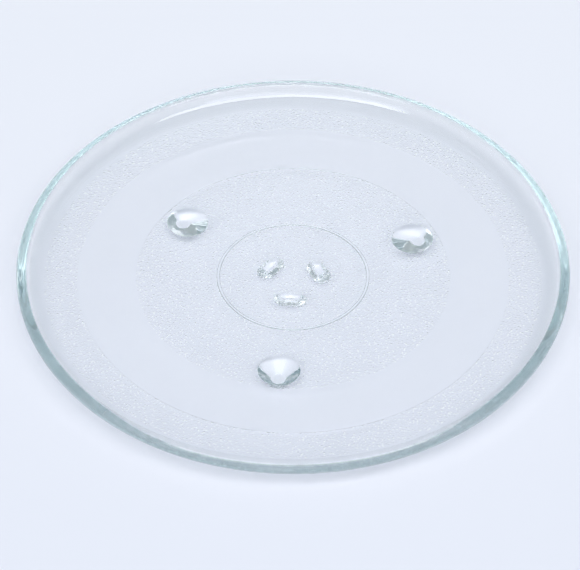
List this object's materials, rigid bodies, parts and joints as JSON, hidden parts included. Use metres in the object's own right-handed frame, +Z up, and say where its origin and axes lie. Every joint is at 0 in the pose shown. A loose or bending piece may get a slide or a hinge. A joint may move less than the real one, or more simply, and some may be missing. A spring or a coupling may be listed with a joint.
{
  "type": "microwave turntable tray",
  "caption": "Round pressed-glass turntable tray for a microwave oven: shallow dish with a raised rim, a smooth roller track, guide bosses and drive lugs under the base.",
  "frame": {"origin": "on the axis of rotation, in the plane of the guide boss ends that the tray stands on", "axes": "+Z up along the axis of rotation, out of the dish; +X to the right and -Y towards the viewer in the picture's view"},
  "size_m": [0.245, 0.245, 0.0161],
  "materials": {
    "glass": "clear pressed soda-lime glass with a faint green edge tint, fire-polished, stippled underside"
  },
  "bodies": {
    "root": {"glass_tray": "glass"}
  },
  "joints": []
}
